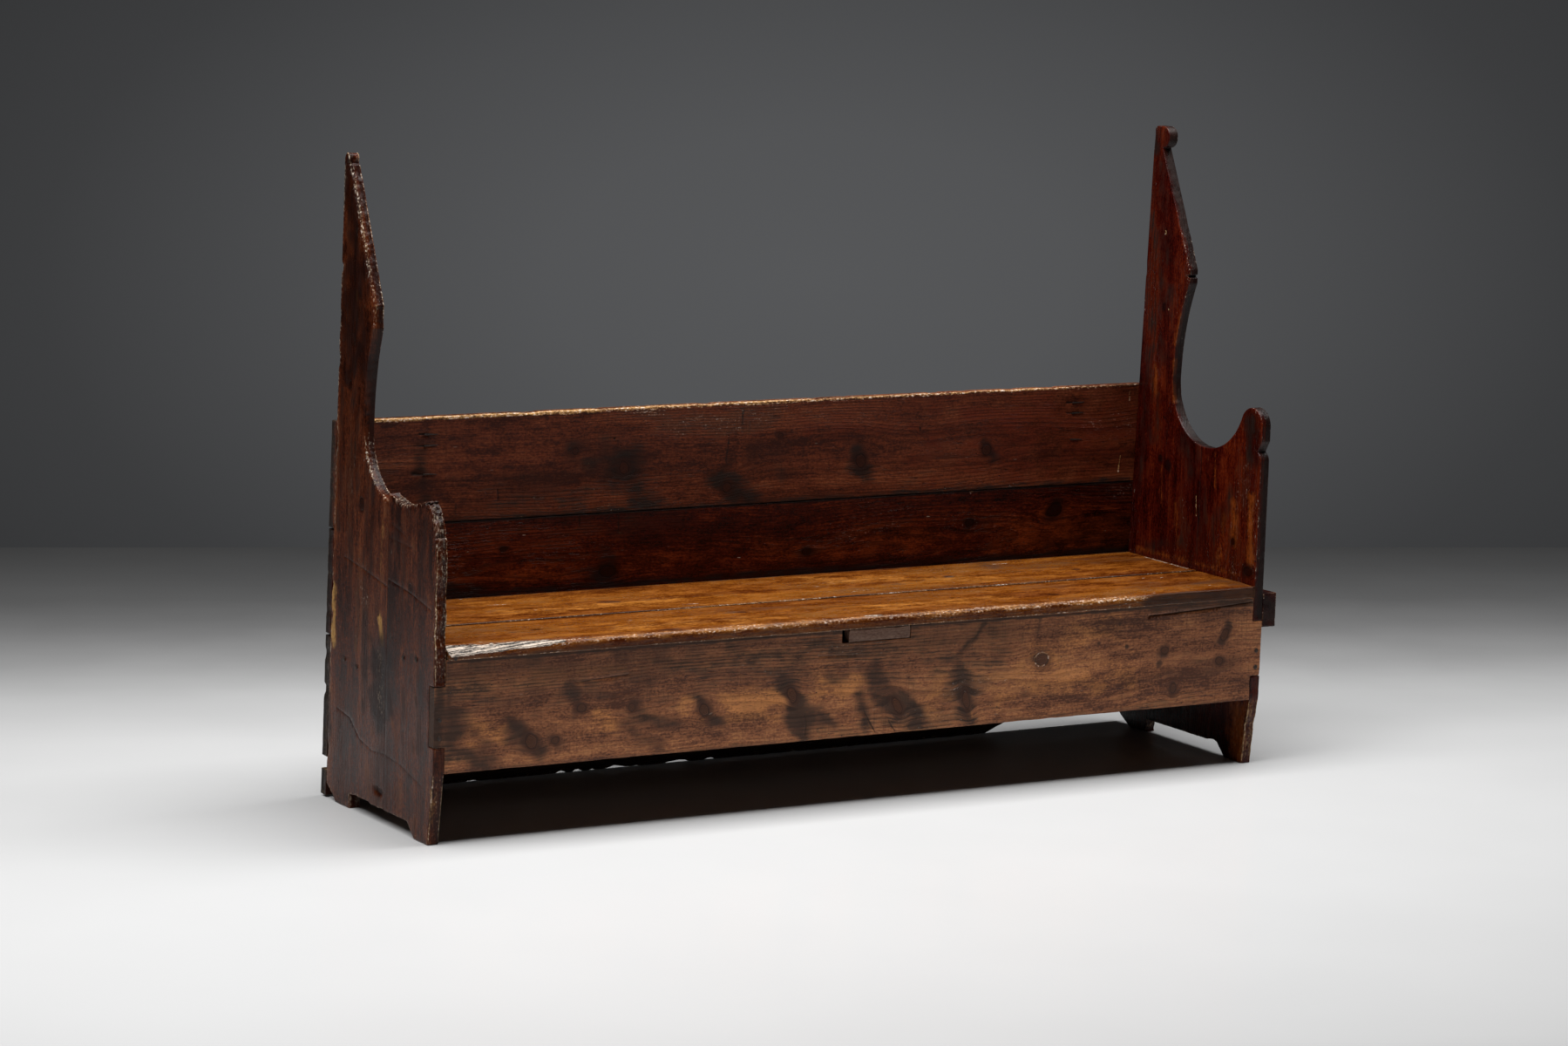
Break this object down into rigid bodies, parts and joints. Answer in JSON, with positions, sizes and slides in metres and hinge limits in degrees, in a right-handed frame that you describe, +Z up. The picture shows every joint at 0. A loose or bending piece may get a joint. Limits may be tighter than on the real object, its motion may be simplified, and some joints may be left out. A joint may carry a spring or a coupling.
{
  "type": "settle bench",
  "caption": "Rustic plank settle: a long box seat with a lifting front lid, a boarded back, and shaped end planks that rise into tall horns.",
  "frame": {"origin": "middle of the overall box, on the floor", "axes": "+X along the bench to the sitter's left, +Y to the back, +Z up"},
  "size_m": [2.143, 0.5668, 1.43],
  "materials": {
    "end_left_wood": "dull, dry, worn",
    "end_right_wood": "old glossy stain and wax",
    "back_upper_wood": "matte old stain",
    "back_middle_wood": "dark glossy stain",
    "back_low_wood": "raw, dirty, matte",
    "seat_wood": "golden, polished by use",
    "front_wood": "satin, knotty, worn",
    "patch_wood": "matte, paler repair",
    "inner_wood": "raw, matte",
    "forged_iron": "dark, forged, slightly rusted"
  },
  "bodies": {
    "frame": {"left_front_plank": "end_left_wood", "left_rear_plank": "end_left_wood", "right_front_plank": "end_right_wood", "right_rear_plank": "end_right_wood", "plank_dowels": "inner_wood", "front_board": "front_wood", "lock_patch": "patch_wood", "upper_back_board": "back_upper_wood", "middle_back_board": "back_middle_wood", "lower_back_board": "back_low_wood", "bottom_back_strip": "back_low_wood", "left_rear_batten": "back_low_wood", "right_rear_batten": "back_low_wood", "seat_rear_board": "seat_wood", "hinge_pins": "forged_iron", "left_seat_cleat": "inner_wood", "right_seat_cleat": "inner_wood", "right_outer_batten": "front_wood", "front_floor_board": "inner_wood", "rear_floor_board": "inner_wood", "left_floor_cleat": "inner_wood", "right_floor_cleat": "inner_wood", "floor_bearer": "inner_wood", "tongue_nails": "forged_iron", "back_nails": "forged_iron", "seat_board_nails": "forged_iron", "cleat_nails": "forged_iron", "outer_batten_nails": "forged_iron", "clenched_nails": "forged_iron", "batten_nails": "forged_iron", "floor_nails": "forged_iron"},
    "lid": {"seat_lid": "seat_wood", "lid_nail": "forged_iron"}
  },
  "joints": [
    {"name": "lid_hinge", "type": "hinge", "parent": "frame", "child": "lid", "pos_m": [0, -0.05823, 0.40415], "axis": [-1, 0, 0], "range_deg": [0, 97]}
  ]
}
